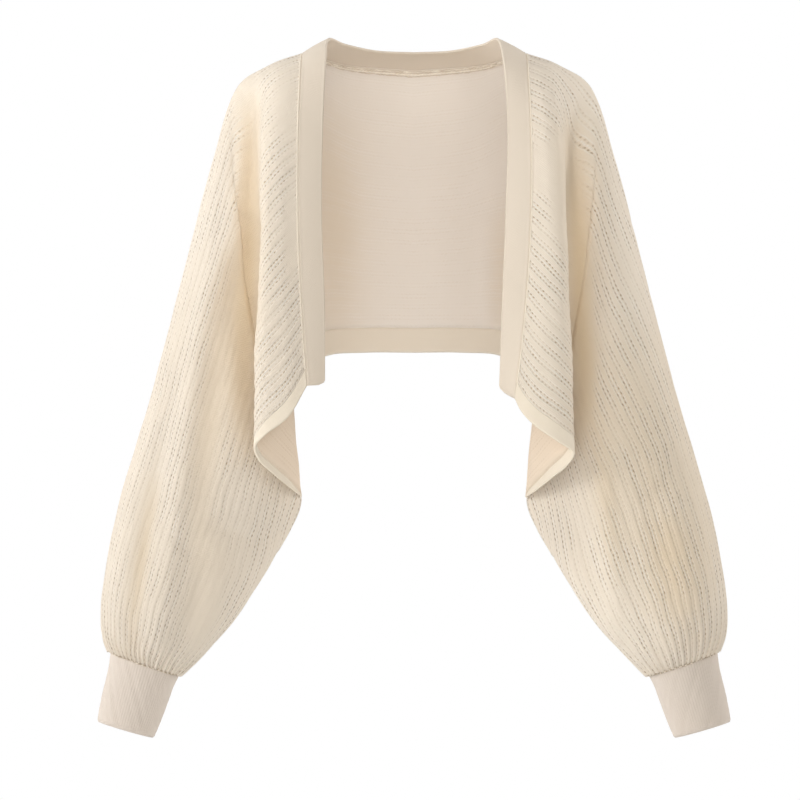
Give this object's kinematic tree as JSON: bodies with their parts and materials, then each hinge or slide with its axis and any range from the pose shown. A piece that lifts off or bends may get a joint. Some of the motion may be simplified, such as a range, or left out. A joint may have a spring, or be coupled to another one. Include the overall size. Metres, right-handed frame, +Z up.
{
  "type": "cardigan",
  "caption": "Cropped open-front cardigan with balloon sleeves, long cuffs, waterfall fronts and one smooth band round the front and neck.",
  "frame": {"origin": "between the wearer's shoulders, level with them and with the ends of the shoulder seams at the neck, where the wearer holds the garment", "axes": "+Z up, -Y the way the wearer faces, +X the wearer's left"},
  "size_m": [0.6344, 0.2044, 0.7001],
  "materials": {
    "pointelle_rib": "matt cream pointelle rib knit",
    "smooth_band": "matt cream smooth knit",
    "fine_rib": "matt pale beige fine rib knit"
  },
  "bodies": {
    "root": {"back": "pointelle_rib", "right_front": "pointelle_rib", "left_front": "pointelle_rib", "neck_band": "smooth_band", "back_hem_band": "smooth_band", "right_hem_band": "smooth_band", "left_hem_band": "smooth_band", "right_cuff": "fine_rib", "left_cuff": "fine_rib"}
  },
  "joints": []
}
